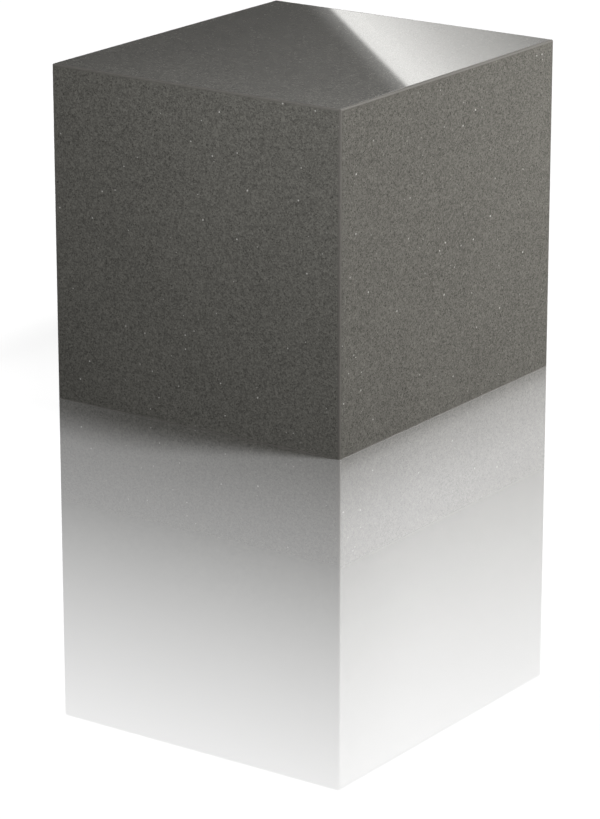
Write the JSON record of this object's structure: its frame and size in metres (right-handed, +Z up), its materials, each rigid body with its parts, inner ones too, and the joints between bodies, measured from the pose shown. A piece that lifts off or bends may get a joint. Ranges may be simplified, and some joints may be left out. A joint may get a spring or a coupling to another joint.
{
  "type": "engineered stone display block",
  "caption": "Near-cubic display block of dark grey speckled engineered stone, built as a closed box of mitred, polished slabs with finely eased edges.",
  "frame": {"origin": "centre of the underside, on the surface that the block stands on", "axes": "+Z up, the front panel faces -Y and the right panel faces +X; the longest side, front to back, runs along Y"},
  "size_m": [0.15, 0.165, 0.15],
  "materials": {
    "polished_stone": "polished",
    "sawn_stone": "matte",
    "adhesive": "gloss"
  },
  "bodies": {
    "root": {"top_panel": "polished_stone", "base_panel": "polished_stone", "front_panel": "polished_stone", "back_panel": "polished_stone", "left_panel": "polished_stone", "right_panel": "polished_stone", "front_left_adhesive": "adhesive", "front_right_adhesive": "adhesive", "back_left_adhesive": "adhesive", "back_right_adhesive": "adhesive", "top_front_adhesive": "adhesive", "top_back_adhesive": "adhesive", "top_left_adhesive": "adhesive", "top_right_adhesive": "adhesive", "base_front_adhesive": "adhesive", "base_back_adhesive": "adhesive", "base_left_adhesive": "adhesive", "base_right_adhesive": "adhesive", "front_left_strip": "sawn_stone", "front_right_strip": "sawn_stone", "back_left_strip": "sawn_stone", "back_right_strip": "sawn_stone", "top_front_strip": "sawn_stone", "top_back_strip": "sawn_stone", "top_left_strip": "sawn_stone", "top_right_strip": "sawn_stone", "base_front_strip": "sawn_stone", "base_back_strip": "sawn_stone", "base_left_strip": "sawn_stone", "base_right_strip": "sawn_stone"}
  },
  "joints": []
}
